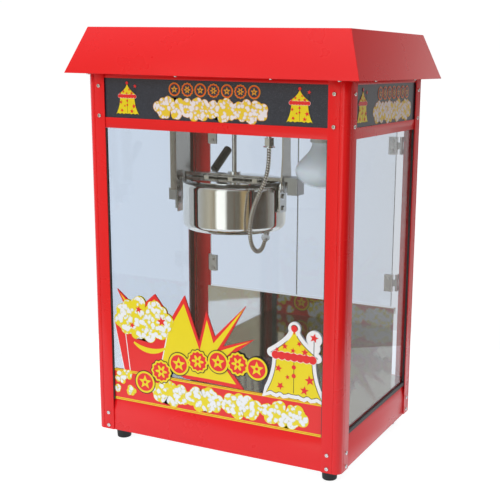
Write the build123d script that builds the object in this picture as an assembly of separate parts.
"""Countertop popcorn maker: a glazed red cabinet with a tilting kettle that hangs from its ceiling.

Millimetres, +Z up, origin on the bench under the middle of the cabinet.
-Y is the customer's side, +Y the operator's side with the two doors, +X the side with the heat lamp.
"""
from build123d import *
import math
import os

# ---- driving dimensions ------------------------------------------------------------------------
EAVE_X, EAVE_Y, EAVE_Z = 560, 420, 690      # lower edge of the canopy
ROOF_X, ROOF_Y, ROOF_Z = 502, 354, 770      # flat top of the canopy
BODY_X, BODY_Y = 504, 364                   # outside of the four corner posts
FOOT_H = 25                                 # height of the rubber feet, and so of the body's underside
POST = 36                                   # leg of a corner post
POST_WALL = 1.6
POST_R = 13                                 # outer rounding of a corner post
SHEET = 1.5                                 # thickness of the folded steel panels
GLASS = 4
DOOR_GLASS = 5
WINDOW_Z0, WINDOW_Z1 = 86, 596              # visible height of the front and side glass
SIGN_Z0, SIGN_Z1 = 614.5, 683               # visible height of the lit sign panels
FLOOR_Z = 96                                # top of the chamber floor
CEILING_Z = 620                             # underside of the ceiling plate
SILL_Z = 237                                # top of the steel sill below the doors
DOOR_Z0, DOOR_Z1 = 240, 594
DOOR_Y = 165                                # inner face of the door glass
HINGE_X, HINGE_Y = 213.5, 174               # vertical door hinge axes, mirrored left and right
HINGE_LEVELS = (288, 561)

KETTLE_X = -55                              # the kettle's own upright axis is at x, y = KETTLE_X, 0
KETTLE_R = 98
KETTLE_Z0, RIM_Z = 403, 496
PAN_R = 90
TILT_Z = 492.5                              # height of the tilt axis, which runs along X at y = 0
LID_R = 92
LID_Z = RIM_Z + 0.3
LID_HINGE_Y, LID_HINGE_Z = 15, 501.2
BAR_Z0, BAR_Z1 = 498.5, 506                 # crossbar over the lids
BAR_HALF = 10
SHAFT_R = 4.5
TONGUE_Z1 = 609                             # top of the agitator shaft's drive tongue
COUPLING_Z0, COUPLING_Z1 = 600, 617
LEFT_PLATE_X, RIGHT_PLATE_X = -156, 46      # inner faces of the two kettle brackets
PLATE_T = 3

LAMP_X, LAMP_Y = 150, -50
MOTOR_Z0 = CEILING_Z + SHEET
CONDUIT_D = 8
FIT = 0.05                                  # radial running clearance of pins and shafts

HALF_X, HALF_Y = BODY_X / 2, BODY_Y / 2
PANEL_X, PANEL_Y = HALF_X - POST_WALL - 0.1, HALF_Y - POST_WALL - 0.1   # outer faces of the panels
GLASS_X, GLASS_Y = HALF_X - 5.5, HALF_Y - 5.5                           # outer faces of the glass
OPEN_X, OPEN_Y = HALF_X - POST, HALF_Y - POST                           # half width between posts
FRONT_HALF, SIDE_HALF = HALF_X - POST_R - 0.5, HALF_Y - POST_R - 0.5    # panels end at the posts' rounding

# the power conduit's route, from the nut under the ceiling to the gland under the kettle
CONDUIT_ROUTE = [
    (65, -90, 568.5), (65, -90, 541), (59, -91, 511), (43, -92, 480), (31, -91, 449), (27, -90, 424),
    (26.5, -87, 401), (27, -78, 383), (28, -60, 373), (28, -41, 377), (28, -33, 391),
]

PARTS = {}


# ---- small helpers -----------------------------------------------------------------------------
def block(x, y, z):
    """A box between three pairs of limits."""
    size = [high - low for low, high in (x, y, z)]
    return Pos(sum(x) / 2, sum(y) / 2, sum(z) / 2) * Box(*size)


def rod(start, end, radius):
    """A round bar from one point to another."""
    run = Vector(*end) - Vector(*start)
    return extrude(Plane(origin=start, z_dir=run) * Circle(radius), run.length)


def upright(x, y, z0, z1, radius):
    return rod((x, y, z0), (x, y, z1), radius)


def along_x(x0, x1, y, z, radius):
    return rod((x0, y, z), (x1, y, z), radius)


def turned(outline, x=0, y=0):
    """A solid of revolution about the upright line at x, y. The outline is (radius, z) points."""
    face = make_face(Polyline(*outline, close=True))
    return Pos(x, y, 0) * revolve(Plane.XZ * face, Axis.Z)


def upright_edges(solid):
    return solid.edges().filter_by(Axis.Z)


def flip_x(solid):
    return mirror(solid, Plane.YZ)


def flip_y(solid):
    return mirror(solid, Plane.XZ)


def group(solids):
    """Separate solids kept in one node."""
    return Compound([piece for solid in solids for piece in solid.solids()])


def screw_head(place, radius=3.6, height=2.4):
    """A pan head with a cross recess, seated on a surface at a place whose z axis points outwards."""
    head = extrude(Circle(radius), height)
    head = fillet(head.edges().group_by(Axis.Z)[-1], height * 0.6)
    slot = Pos(0, 0, height) * Box(radius * 1.1, 0.9, 1.6)
    return place * (head - slot - Rot(0, 0, 90) * slot)


# ---- cabinet frame -----------------------------------------------------------------------------
def corner_posts():
    """Four L section posts with a rounded outer corner and a shallow groove beside the rounding."""
    x0, y0 = HALF_X - POST, HALF_Y - POST
    outer = block((x0, HALF_X), (y0, HALF_Y), (FOOT_H, EAVE_Z))
    outer = fillet(upright_edges(outer).sort_by_distance((HALF_X, HALF_Y, 0))[0], POST_R)
    inner = block((x0 - 1, HALF_X - POST_WALL), (y0 - 1, HALF_Y - POST_WALL), (FOOT_H - 1, EAVE_Z + 1))
    inner = fillet(upright_edges(inner).sort_by_distance((HALF_X, HALF_Y, 0))[0], POST_R - POST_WALL)
    post = outer - inner
    groove_x, groove_y = HALF_X - POST_R - 2, HALF_Y - POST_R - 2
    height = (FOOT_H - 1, EAVE_Z + 1)
    post -= block((groove_x - 0.6, groove_x + 0.6), (HALF_Y - 0.6, HALF_Y + 1), height)
    post -= block((HALF_X - 0.6, HALF_X + 1), (groove_y - 0.6, groove_y + 0.6), height)
    PARTS["rear_right_post"] = post
    PARTS["rear_left_post"] = flip_x(post)
    PARTS["front_right_post"] = flip_y(post)
    PARTS["front_left_post"] = flip_y(flip_x(post))


def apron(half_length, outer, glass):
    """A base panel facing -Y: upright, leaning in to the foot of the glass, folded in, then up to the floor."""
    bend_z, fold, ledge_z = 65, 9, FLOOR_Z - SHEET
    lean = outer - glass
    outline = [
        (-outer, FOOT_H), (-outer, bend_z), (-outer + lean, WINDOW_Z0), (-outer + fold, WINDOW_Z0),
        (-outer + fold, ledge_z), (-outer + fold + SHEET, ledge_z), (-outer + fold + SHEET, WINDOW_Z0 - SHEET),
        (-outer + lean + SHEET, WINDOW_Z0 - SHEET), (-outer + SHEET, bend_z), (-outer + SHEET, FOOT_H),
    ]
    face = Plane.YZ * make_face(Polyline(*outline, close=True))
    return Pos(-half_length, 0, 0) * extrude(face, 2 * half_length, dir=(1, 0, 0))


def base():
    PARTS["front_apron"] = apron(FRONT_HALF, PANEL_Y, GLASS_Y)
    side = apron(SIDE_HALF, PANEL_X, GLASS_X)
    PARTS["side_aprons"] = group([Rot(0, 0, 90) * side, Rot(0, 0, -90) * side])
    rear = block((DRAWER_HALF + 1, FRONT_HALF), (PANEL_Y - SHEET, PANEL_Y), (FOOT_H, FLOOR_Z - 2.5))
    PARTS["rear_aprons"] = group([rear, flip_x(rear)])
    pan = block((3 - PANEL_X, PANEL_X - 3), (3 - PANEL_Y, PANEL_Y - 3), (FOOT_H, FOOT_H + SHEET))
    PARTS["base_pan"] = fillet(upright_edges(pan), POST_R)
    PARTS["rubber_feet"] = group(foot(x, y) for x in (-218, 218) for y in (-147, 147))


def foot(x, y):
    """A tapered rubber foot with a rounded lower edge."""
    body = turned([(0, 0), (13, 0), (15, FOOT_H), (0, FOOT_H)], x, y)
    return fillet(body.edges().group_by(Axis.Z)[0], 2)


def chamber_floor():
    """The loose steel floor, with staggered holes that unpopped corn falls through."""
    sheet = Rectangle(2 * (GLASS_X - GLASS - 2), 2 * (GLASS_Y - GLASS - 2))
    pitch_x, pitch_y, hole_r = 15, 13, 3.2
    holes = [
        Pos(-70 + pitch_x * (column + row % 2 / 2), -35 + pitch_y * row) * Circle(hole_r)
        for row in range(12)
        for column in range(17)
    ]
    PARTS["floor_tray"] = extrude(Pos(0, 0, FLOOR_Z - SHEET) * (sheet - holes), SHEET)


DRAWER_HALF = 150
DRAWER_Z0, DRAWER_Z1 = FOOT_H + SHEET + 0.5, 72


def crumb_drawer():
    """A shallow tray behind a red front, pulled out towards the operator."""
    depth = (-140, PANEL_Y - 4)
    tray = block((-DRAWER_HALF + 4, DRAWER_HALF - 4), depth, (DRAWER_Z0, DRAWER_Z1))
    tray -= block((-DRAWER_HALF + 6, DRAWER_HALF - 6), (depth[0] + 2, depth[1] - 2), (DRAWER_Z0 + 2, DRAWER_Z1 + 1))
    front = block((-DRAWER_HALF, DRAWER_HALF), (PANEL_Y - 4, PANEL_Y), (FOOT_H + 4, FLOOR_Z - 3))
    grip = block((-45, 45), (PANEL_Y, PANEL_Y + 16), (58, 61)) + block((-45, 45), (PANEL_Y + 13, PANEL_Y + 16), (52, 61))
    PARTS["crumb_drawer"] = tray + front + grip


def fascia(half_length, outer):
    """A pressed frame facing -Y that holds a sign: a deep rail below, a narrow one above, two ends."""
    rails = block((-half_length, half_length), (-outer, SHEET - outer), (WINDOW_Z1, EAVE_Z))
    return rails - block((18 - half_length, half_length - 18), (-outer - 1, outer), (SIGN_Z0, SIGN_Z1))


def sign(half_length, outer):
    """A printed acrylic sheet facing -Y, held behind a fascia."""
    y0 = SHEET - outer
    return block((-half_length, half_length), (y0, y0 + 2), (SIGN_Z0 - 6, SIGN_Z1 + 5))


def header():
    PARTS["front_fascia"] = fascia(FRONT_HALF, PANEL_Y)
    PARTS["right_fascia"] = Rot(0, 0, 90) * fascia(SIDE_HALF, PANEL_X)
    PARTS["left_fascia"] = Rot(0, 0, -90) * fascia(SIDE_HALF, PANEL_X)
    PARTS["front_sign_panel"] = sign(FRONT_HALF - 8, PANEL_Y)
    side_sign = sign(SIDE_HALF - 8, PANEL_X)
    PARTS["side_sign_panels"] = group([Rot(0, 0, 90) * side_sign, Rot(0, 0, -90) * side_sign])
    rear = block((-FRONT_HALF, FRONT_HALF), (PANEL_Y - SHEET, PANEL_Y), (WINDOW_Z1, EAVE_Z))
    for x in SWITCH_X:
        rear -= block((x - 11, x + 11), (0, HALF_Y), (SWITCH_Z - 14, SWITCH_Z + 14))
    rear -= rod((GLAND_X, 100, GLAND_Z), (GLAND_X, 200, GLAND_Z), 8)
    PARTS["rear_fascia"] = rear


SWITCH_X = {-70: "heat_rocker", 0: "motor_rocker", 70: "lamp_rocker"}
SWITCH_Z = 650
GLAND_X, GLAND_Z = 190, 650


def switches():
    """Three rocker switches: black bezels in the rear fascia, each with a rocker that tips about X."""
    bezels = []
    for x, name in SWITCH_X.items():
        bezel = block((x - 11, x + 11), (PANEL_Y - 20, PANEL_Y + 2), (SWITCH_Z - 14, SWITCH_Z + 14))
        bezel += block((x - 13, x + 13), (PANEL_Y, PANEL_Y + 2), (SWITCH_Z - 16, SWITCH_Z + 16))
        bezel -= block((x - 8, x + 8), (PANEL_Y - 11, PANEL_Y + 3), (SWITCH_Z - 11.5, SWITCH_Z + 11.5))
        bezels.append(bezel)
        cap = block((x - 7.5, x + 7.5), (PANEL_Y - 5, PANEL_Y + 1), (SWITCH_Z - 10, SWITCH_Z + 10))
        cap += along_x(x - 7.5, x + 7.5, PANEL_Y - 5, SWITCH_Z, 4)
        pivot = Pos(x, PANEL_Y - 5, SWITCH_Z)
        PARTS[name] = pivot * Rot(-9, 0, 0) * pivot.inverse() * cap
    PARTS["switch_bezels"] = group(bezels)


def mains_gland():
    """A threaded gland through the rear fascia, with a lock nut inside and a domed nut outside."""
    def disc(y0, y1, radius):
        return rod((GLAND_X, y0, GLAND_Z), (GLAND_X, y1, GLAND_Z), radius)
    body = disc(PANEL_Y - 12, PANEL_Y + 8, 8)
    nut_plane = Plane(origin=(GLAND_X, PANEL_Y, GLAND_Z), z_dir=(0, 1, 0))
    hexagon = RegularPolygon(11, 6)
    body += extrude(nut_plane * hexagon, 7)
    body += extrude(nut_plane.offset(-SHEET - 5) * hexagon, 5)
    body += disc(PANEL_Y + 7, PANEL_Y + 20, 7)
    PARTS["mains_gland"] = body - disc(PANEL_Y - 13, PANEL_Y + 21, 4.2)


def canopy():
    """A folded steel hood: four leaning sides, a flat top, and a flange under the eaves."""
    outer = loft([Pos(0, 0, EAVE_Z) * Rectangle(EAVE_X, EAVE_Y), Pos(0, 0, ROOF_Z) * Rectangle(ROOF_X, ROOF_Y)])
    inset = 2 * SHEET * 1.1
    inner = loft([
        Pos(0, 0, EAVE_Z + SHEET) * Rectangle(EAVE_X - inset, EAVE_Y - inset),
        Pos(0, 0, ROOF_Z - SHEET) * Rectangle(ROOF_X - inset, ROOF_Y - inset),
    ])
    mouth = block((-HALF_X + 12, HALF_X - 12), (-HALF_Y + 12, HALF_Y - 12), (EAVE_Z - 1, EAVE_Z + SHEET + 1))
    PARTS["canopy"] = outer - inner - mouth


def ceiling():
    """The plate over the chamber, with the gear motor, the lamp socket and the conduit nut."""
    plate = block((-240, 240), (-170, 170), (CEILING_Z, MOTOR_Z0))
    plate -= upright(KETTLE_X, 0, CEILING_Z - 1, MOTOR_Z0 + 1, 8)
    plate -= upright(LAMP_X, LAMP_Y, CEILING_Z - 1, MOTOR_Z0 + 1, 22)
    plate -= upright(CONDUIT_ROUTE[0][0], CONDUIT_ROUTE[0][1], CEILING_Z - 1, MOTOR_Z0 + 1, 5)
    PARTS["ceiling_plate"] = plate

    gearbox = block((KETTLE_X - 38, KETTLE_X + 38), (-30, 30), (MOTOR_Z0, MOTOR_Z0 + 34))
    gearbox = fillet(upright_edges(gearbox), 8)
    can = upright(KETTLE_X + 6, 0, MOTOR_Z0 + 34, MOTOR_Z0 + 96, 29)
    can = fillet(can.edges().group_by(Axis.Z)[-1], 4)
    PARTS["gear_motor"] = gearbox + can - upright(KETTLE_X, 0, MOTOR_Z0 - 1, MOTOR_Z0 + 26, 4 + FIT)

    coupling = upright(KETTLE_X, 0, COUPLING_Z0, COUPLING_Z1, 12)
    slot = block((KETTLE_X - 2.35, KETTLE_X + 2.35), (-14, 14), (COUPLING_Z0 - 1, TONGUE_Z1 + 1.6))
    coupling = coupling - slot + upright(KETTLE_X, 0, COUPLING_Z1, MOTOR_Z0 + 25, 4)
    PARTS["drive_coupling"] = coupling


def heat_lamp():
    """A reflector bulb with its face down, screwed into a socket that hangs through the ceiling."""
    neck_r, socket_r, seat = 19, 21.9, 592
    cup = upright(LAMP_X, LAMP_Y, 580, CEILING_Z + 22, socket_r)
    cup -= upright(LAMP_X, LAMP_Y, 579, seat + 2, neck_r + 0.3)
    PARTS["lamp_socket"] = cup + upright(LAMP_X, LAMP_Y, CEILING_Z - 3, CEILING_Z, 28)
    side = Spline([(neck_r, 574), (30, 558), (47.5, 527)], tangents=[(0, -1), (0.12, -1)])
    face = Spline([(47.5, 527), (32, 506), (0, 499)], tangents=[(-0.05, -1), (-1, 0)])
    rest = Polyline([(0, 499), (0, seat), (neck_r, seat), (neck_r, 574)])
    bulb = revolve(Plane.XZ * make_face([side, face, rest]), Axis.Z)
    PARTS["heat_lamp"] = Pos(LAMP_X, LAMP_Y, 0) * bulb


# ---- glass, seals, sill and doors --------------------------------------------------------------
def glazing():
    front = block((-236, 236), (-GLASS_Y, GLASS - GLASS_Y), (WINDOW_Z0 + 0.5, WINDOW_Z1 + 8))
    side = block((GLASS_X - GLASS, GLASS_X), (-166, 166), (WINDOW_Z0 + 0.5, WINDOW_Z1 + 8))
    PARTS["front_glass"] = front
    PARTS["right_glass"] = side
    PARTS["left_glass"] = flip_x(side)

    gap_y, gap_x = HALF_Y - POST_WALL, HALF_X - POST_WALL
    height = (WINDOW_Z0 + 0.5, WINDOW_Z1 - 0.5)
    front_strip = block((OPEN_X - 1.6, OPEN_X + 14), (-gap_y, -GLASS_Y), height)
    side_strip = block((GLASS_X, gap_x), (OPEN_Y - 1.6, OPEN_Y + 14), height)
    foot_strip = block((GLASS_X, gap_x - 0.6), (1.7 - OPEN_Y, OPEN_Y - 1.7), (height[0], height[0] + 7))
    right_side = [side_strip, flip_y(side_strip), foot_strip]
    seals = [front_strip, flip_x(front_strip)] + right_side + [flip_x(strip) for strip in right_side]
    PARTS["glass_seals"] = group(seals)


def rear_sill():
    """The polished steel sill that keeps the corn in below the doors, with a return along its top."""
    wall = block((-213, 213), (DOOR_Y, DOOR_Y + SHEET), (FLOOR_Z, SILL_Z))
    lip = block((-213, 213), (DOOR_Y, DOOR_Y + 12), (SILL_Z - SHEET, SILL_Z))
    hem = block((-213, 213), (DOOR_Y + 12 - SHEET, DOOR_Y + 12), (SILL_Z - 14, SILL_Z))
    PARTS["rear_sill_panel"] = wall + lip + hem


KNUCKLE_R, PIN_R = 3, 1.5
HINGE_HALF, TONGUE_HALF = 17, 6.7
LEAF_T = 2.2                                # thickness of the hinge leaf on the back of the post


def hinge_leaf(level):
    """The fixed half of a door hinge: a plate screwed on the back of the right rear post, and two knuckles."""
    tall = (level - HINGE_HALF, level + HINGE_HALF)
    leaf = block((HINGE_X - 0.2, HINGE_X + 26), (HALF_Y, HALF_Y + LEAF_T), tall)
    for low, high in ((-HINGE_HALF, -7), (7, HINGE_HALF)):
        leaf += upright(HINGE_X, HINGE_Y, level + low, level + high, KNUCKLE_R)
        leaf += block((HINGE_X - 0.2, HINGE_X + 2.1), (HINGE_Y, HALF_Y + LEAF_T), (level + low, level + high))
    for z in (level - 10, level + 10):
        leaf += screw_head(Plane(origin=(HINGE_X + 17, HALF_Y + LEAF_T, z), z_dir=(0, 1, 0)).location, 3.6, 2)
    return leaf - upright(HINGE_X, HINGE_Y, level - 30, level + 30, PIN_R + FIT)


def hinge_clip(level):
    """The moving half: a clip over the glass edge, its knuckle, the pin and two clamp screws."""
    tall = (level - HINGE_HALF, level + HINGE_HALF)
    outside, inside = DOOR_Y + DOOR_GLASS, DOOR_Y
    x0, x1 = HINGE_X - 22, HINGE_X - 5.5
    clip = block((x0, x1), (outside, outside + 2), tall) + block((x0, x1), (inside - 2, inside), tall)
    clip += block((x1 - 2, x1), (inside - 2, outside + 2), tall)
    clip += block((x1 - 1, HINGE_X), (outside, outside + 2), (level - TONGUE_HALF, level + TONGUE_HALF))
    clip += upright(HINGE_X, HINGE_Y, level - TONGUE_HALF, level + TONGUE_HALF, KNUCKLE_R)
    clip += upright(HINGE_X, HINGE_Y, level - HINGE_HALF, level + HINGE_HALF, PIN_R)
    for z in (level - 10, level + 10):
        clip += screw_head(Plane(origin=(x0 + 8, outside + 2, z), z_dir=(0, 1, 0)).location, 4, 2.2)
        clip += screw_head(Plane(origin=(x0 + 8, inside - 2, z), z_dir=(0, -1, 0)).location, 4, 2.2)
    return clip


def doors():
    """Two frameless glass doors that swing out, their clips, knobs and strike plates."""
    edge = HINGE_X - 7.5
    glass = block((0.8, edge), (DOOR_Y, DOOR_Y + DOOR_GLASS), (DOOR_Z0, DOOR_Z1))
    knob_x, knob_z, outside = 24, 579, DOOR_Y + DOOR_GLASS
    knob = rod((knob_x, outside, knob_z), (knob_x, outside + 12, knob_z), 5)
    knob += rod((knob_x, outside + 11, knob_z), (knob_x, outside + 22, knob_z), 10)
    knob += rod((knob_x, DOOR_Y - 2, knob_z), (knob_x, DOOR_Y, knob_z), 6)
    strike = block((3, 15), (DOOR_Y - 1.2, DOOR_Y), (574, 588))
    fittings = [hinge_clip(level) for level in HINGE_LEVELS] + [knob, strike]
    PARTS["right_door_glass"] = glass
    PARTS["left_door_glass"] = flip_x(glass)
    PARTS["right_door_fittings"] = group(fittings)
    PARTS["left_door_fittings"] = group([flip_x(piece) for piece in fittings])
    leaves = [hinge_leaf(level) for level in HINGE_LEVELS]
    PARTS["hinge_leaves"] = group(leaves + [flip_x(leaf) for leaf in leaves])
    catch = block((-16, 16), (DOOR_Y - 14, DOOR_Y - 1.6), (572, 590))
    catch += block((-16, 16), (DOOR_Y - 8, DOOR_Y - 5), (590, CEILING_Z))
    PARTS["door_catch"] = catch


# ---- hanger arms -------------------------------------------------------------------------------
ARM_FOOT_Z = 470                            # the left arm's wide part ends here, and a tab goes on down


def hanger_arms():
    """Two steel arms from the ceiling that carry the kettle's tilt pins."""
    web_x, flange = (-170, -168), 12
    left = block(web_x, (-25, 25), (ARM_FOOT_Z, CEILING_Z)) + block(web_x, (-21, 9), (428, ARM_FOOT_Z))
    for y in ((-25, -23), (23, 25)):
        left += block((web_x[0] - flange, web_x[1]), y, (ARM_FOOT_Z, CEILING_Z))
    left += block((web_x[0] - flange, web_x[1]), (-25, 25), (CEILING_Z - 2, CEILING_Z))
    left -= along_x(-190, -160, 0, TILT_Z, 4 + FIT)
    PARTS["left_hanger_arm"] = left

    foot = Polyline([(-15, 545), (-20, 500), (-15, TILT_Z), (15, TILT_Z), (20, 500), (15, 545)], close=True)
    right = block((53, 56), (-15, 15), (492, CEILING_Z)) + along_x(53, 56, 0, TILT_Z, 15)
    right += extrude(Plane(origin=(53, 0, 0), x_dir=(0, 1, 0), z_dir=(1, 0, 0)) * make_face(foot), 3)
    right += block((53, 78), (-15, 15), (CEILING_Z - 3, CEILING_Z))
    right -= along_x(40, 70, 0, TILT_Z, 4 + FIT)
    PARTS["right_hanger_arm"] = right

    socket = block((64, 85), (-15, 15), (476, 508)) + block((56, 64), (-15, 15), (500, 508))
    stop = block((-195, -178), (-11, 11), (448.5, 471)) + block((-182, -174), (-9, 9), (432, 460))
    stop += block((-178, -170), (-9, 9), (440, 460))
    PARTS["pivot_blocks"] = group([fillet(upright_edges(socket), 1.5), stop])


# ---- kettle ------------------------------------------------------------------------------------
GRIP_R = 8.5


def kettle_form(radius, z0, z1, edge):
    """A plain drum with a rounded bottom edge."""
    drum = upright(KETTLE_X, 0, z0, z1, radius)
    return fillet(drum.edges().group_by(Axis.Z)[0], edge)


def kettle():
    outside = kettle_form(KETTLE_R, KETTLE_Z0, RIM_Z - 3, 15)
    PARTS["kettle_shell"] = outside - kettle_form(KETTLE_R - 1.2, KETTLE_Z0 + 1.2, RIM_Z, 13.8)

    pan_z0 = KETTLE_Z0 + 17
    pan = kettle_form(PAN_R, pan_z0, RIM_Z - 2, 12)
    rim = upright(KETTLE_X, 0, RIM_Z - 3, RIM_Z, KETTLE_R + 1.5)
    pan += fillet(rim.edges(), 1.3)
    PARTS["kettle_pan"] = pan - kettle_form(PAN_R - 1.5, pan_z0 + 1.5, RIM_Z + 1, 10.5)

    PARTS["heater_ring"] = Pos(KETTLE_X, 0, pan_z0 - 5) * Torus(62, 4.5)
    gland_axis = [Vector(*CONDUIT_ROUTE[-1]), Vector(*CONDUIT_ROUTE[-1]) - Vector(*CONDUIT_ROUTE[-2])]
    tip = gland_axis[0] + gland_axis[1].normalized() * 24
    nut = gland_axis[0] + gland_axis[1].normalized() * 9
    gland = rod(gland_axis[0], tip, 5.5)
    gland += extrude(Plane(origin=nut, z_dir=gland_axis[1] * -1) * RegularPolygon(8, 6), 6)
    PARTS["conduit_gland"] = gland - upright(KETTLE_X, 0, KETTLE_Z0 + 12, 450, 95) - outside
    kettle_brackets(outside)


def bracket(inner_x, side, drum):
    """A plate beside the drum on two bosses, with two bolts. side is 1 on the right, -1 on the left."""
    x = sorted((inner_x, inner_x + side * PLATE_T))
    plate = block(x, (-13.5, 13.5), (441, 484)) + block(x, (-BAR_HALF, BAR_HALF), (484, BAR_Z1))
    for z in (448, 470):
        start = inner_x - side * 8
        plate += along_x(*sorted((start, inner_x)), 0, z, 6)
        head = Plane(origin=(inner_x + side * PLATE_T, 0, z), z_dir=(side, 0, 0))
        plate += extrude(head * RegularPolygon(5.5, 6), 3)
    return plate - drum


def kettle_brackets(drum):
    right, left = bracket(RIGHT_PLATE_X, 1, drum), bracket(LEFT_PLATE_X, -1, drum)
    PARTS["right_kettle_bracket"] = right - along_x(45, 50, 0, TILT_Z, 4)
    PARTS["left_kettle_bracket"] = left - along_x(-160, -155, 0, TILT_Z, 4)
    right_pin = along_x(RIGHT_PLATE_X, 58, 0, TILT_Z, 4) + along_x(56.4, 60, 0, TILT_Z, 5.3)
    left_pin = along_x(-174, LEFT_PLATE_X, 0, TILT_Z, 4) + along_x(-174, -170.4, 0, TILT_Z, 5.3)
    PARTS["trunnion_pins"] = group([right_pin, left_pin])


EAR_X = [KETTLE_X + offset for offset in (-60, -30, 30, 60)]


def crossbar():
    """The bar over the lids, with four hinge ears on each side and the bush for the shaft."""
    bar = block((LEFT_PLATE_X, RIGHT_PLATE_X), (-BAR_HALF, BAR_HALF), (BAR_Z0, BAR_Z1))
    bar = fillet(bar.edges().filter_by(Axis.X), 1)
    for x in EAR_X:
        ears = along_x(x - 2, x + 2, LID_HINGE_Y, LID_HINGE_Z, 2.9)
        ears += block((x - 2, x + 2), (BAR_HALF - 2, LID_HINGE_Y), (LID_HINGE_Z - 2, LID_HINGE_Z + 2.9))
        bar += ears + flip_y(ears)
    for y in (-LID_HINGE_Y, LID_HINGE_Y):
        bar -= along_x(KETTLE_X - 70, KETTLE_X + 70, y, LID_HINGE_Z, 1.5 + FIT)
    bar -= upright(KETTLE_X, 0, BAR_Z0 - 1, BAR_Z1 + 1, 7)
    PARTS["crossbar"] = bar
    bush = upright(KETTLE_X, 0, BAR_Z0, BAR_Z1, 7) + upright(KETTLE_X, 0, BAR_Z1, BAR_Z1 + 5, 12)
    PARTS["shaft_bush"] = bush - upright(KETTLE_X, 0, BAR_Z0 - 1, BAR_Z1 + 6, SHAFT_R + FIT)


def lids():
    """Two half discs that rest on the rim and fold up about rods beside the crossbar."""
    inner_y = LID_HINGE_Y - 1.5
    plate = upright(KETTLE_X, 0, LID_Z, LID_Z + SHEET, LID_R)
    plate &= block((KETTLE_X - LID_R, KETTLE_X + LID_R), (inner_y, LID_R + 1), (LID_Z, LID_Z + SHEET))
    corner = block((80, LID_R + 1), (0, 24), (LID_Z - 1, LID_Z + 3))
    plate -= Pos(KETTLE_X, 0, 0) * corner
    plate -= Pos(KETTLE_X, 0, 0) * flip_x(corner)
    lid = plate + along_x(EAR_X[0] - 6, EAR_X[-1] + 6, LID_HINGE_Y, LID_HINGE_Z, 1.5)
    for x in (EAR_X[0] + 8, KETTLE_X, EAR_X[-1] - 8):
        lid += block((x - 5, x + 5), (inner_y, LID_HINGE_Y + 1.5), (LID_Z, LID_HINGE_Z))
    PARTS["rear_lid"] = lid
    PARTS["front_lid"] = flip_y(lid)


def handle():
    """The tilt handle: a bent rod on two bosses behind the drum, and a round black grip."""
    grip_from, grip_to = Vector(-141, 70, 501), Vector(-134.4, 117.5, 541)
    way = (grip_to - grip_from).normalized()
    bend = grip_from - way * 7
    foot = Vector(bend.X, bend.Y, 442)
    path = FilletPolyline(foot, bend, grip_from + way * 34, radius=8)
    arm = sweep(Plane(origin=foot, z_dir=(0, 0, 1)) * Circle(3.5), path=path)
    for z in (450, 474):
        arm += rod((KETTLE_X, 0, z), (bend.X, bend.Y, z), 5)
    PARTS["handle_arm"] = arm - upright(KETTLE_X, 0, KETTLE_Z0, RIM_Z, KETTLE_R)
    grip = rod(grip_from, grip_to, GRIP_R)
    grip = fillet(grip.edges(), 3)
    PARTS["handle_grip"] = grip - rod(grip_from, (grip_from + way * 36), 3.5 + FIT)


def agitator():
    """The long shaft that ends in a flat drive tongue, and the stirring blade at its foot."""
    foot_z, shoulder = KETTLE_Z0 + 19.2, COUPLING_Z0 - 1.6
    shaft = upright(KETTLE_X, 0, foot_z, shoulder, SHAFT_R)
    shaft += block((KETTLE_X - 2, KETTLE_X + 2), (-SHAFT_R, SHAFT_R), (shoulder, TONGUE_Z1))
    PARTS["agitator_shaft"] = shaft
    hub = upright(KETTLE_X, 0, foot_z + 1, foot_z + 15, 9) - upright(KETTLE_X, 0, foot_z, foot_z + 16, SHAFT_R)
    arm_z = foot_z + 4.5
    for side in (-1, 1):
        end = (KETTLE_X + side * 74, side * 12, arm_z)
        elbow = (KETTLE_X + side * 38, side * 3, arm_z)
        path = FilletPolyline((KETTLE_X + side * 8, 0, arm_z), elbow, end, (end[0], end[1], arm_z + 16),
                              radius=[8, 6])
        hub += sweep(Plane(origin=(KETTLE_X + side * 8, 0, arm_z), z_dir=(side, 0, 0)) * Circle(2.5), path=path)
    PARTS["stirring_blade"] = hub


# ---- power conduit -----------------------------------------------------------------------------
def conduit_radii(route):
    """Each corner's arc: 0.45 of the shorter run, divided by the tangent of half the turn."""
    points = [Vector(*point) for point in route]
    runs = [after - before for before, after in zip(points, points[1:])]
    radii = []
    for before, after in zip(runs, runs[1:]):
        half_turn = math.radians(before.get_angle(after)) / 2
        radii.append(0.45 * min(before.length, after.length) / math.tan(half_turn))
    return radii


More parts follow.
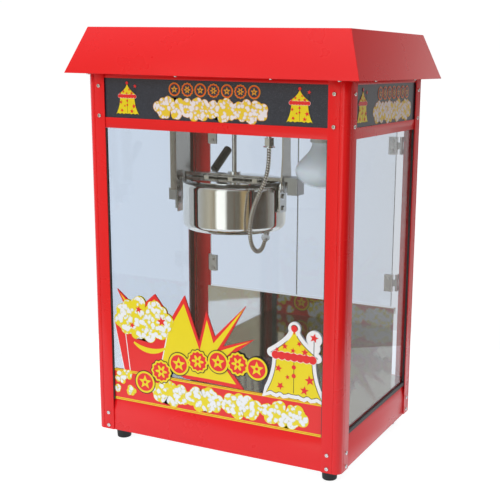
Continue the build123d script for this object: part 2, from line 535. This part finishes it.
def power_conduit():
    """Flexible metal conduit that hangs in a loop, from a hex nut on a drop pipe to the kettle's gland."""
    radii = conduit_radii(CONDUIT_ROUTE)
    path = FilletPolyline(*CONDUIT_ROUTE, radius=radii)
    first = Vector(*CONDUIT_ROUTE[1]) - Vector(*CONDUIT_ROUTE[0])
    tube = sweep(Plane(origin=CONDUIT_ROUTE[0], z_dir=first) * Circle(CONDUIT_D / 2), path=path)
    PARTS["power_conduit"] = tube
    expected = math.pi * CONDUIT_D ** 2 / 4 * path.length
    print("conduit radii", [round(radius, 1) for radius in radii])
    print("conduit length", round(path.length, 1), "volume ratio", round(tube.volume / expected, 4))
    x, y, z = CONDUIT_ROUTE[0]
    collar = upright(x, y, z, z + 4, 6.5) + upright(x, y, z + 1, z + 2.6, 10.8)
    fitting = collar + Pos(x, y, z + 4) * extrude(RegularPolygon(9.2, 6), 13)
    PARTS["conduit_nut"] = fitting + upright(x, y, z + 17, CEILING_Z + 8, 5)


# ---- fasteners ---------------------------------------------------------------------------------
def frame_screws():
    """Pan head screws: four on each outer face of each post, and a row under the eaves."""
    heads = []
    inset = 25
    for z in (33, 58, 617, 669):
        for x in (inset - HALF_X, HALF_X - inset):
            for side in (-1, 1):
                place = Plane(origin=(x, side * HALF_Y, z), z_dir=(0, side, 0))
                heads.append(screw_head(place.location))
        for y in (inset - HALF_Y, HALF_Y - inset):
            for side in (-1, 1):
                place = Plane(origin=(side * HALF_X, y, z), z_dir=(side, 0, 0))
                heads.append(screw_head(place.location))
    for x in (-240, -60, 120, 240):
        for y in (-194, 194):
            heads.append(screw_head(Plane(origin=(x, y, EAVE_Z), z_dir=(0, 0, -1)).location, 3, 2))
    for y in (-100, 100):
        for x in (-264, 264):
            heads.append(screw_head(Plane(origin=(x, y, EAVE_Z), z_dir=(0, 0, -1)).location, 3, 2))
    PARTS["frame_screws"] = group(heads)


def build():
    corner_posts()
    base()
    chamber_floor()
    crumb_drawer()
    header()
    switches()
    mains_gland()
    canopy()
    ceiling()
    heat_lamp()
    glazing()
    rear_sill()
    doors()
    hanger_arms()
    kettle()
    crossbar()
    lids()
    handle()
    agitator()
    power_conduit()
    frame_screws()


build()
os.makedirs("parts", exist_ok=True)
for name, shape in PARTS.items():
    export_step(shape, os.path.join("parts", name + ".step"))
print(len(PARTS), "nodes")
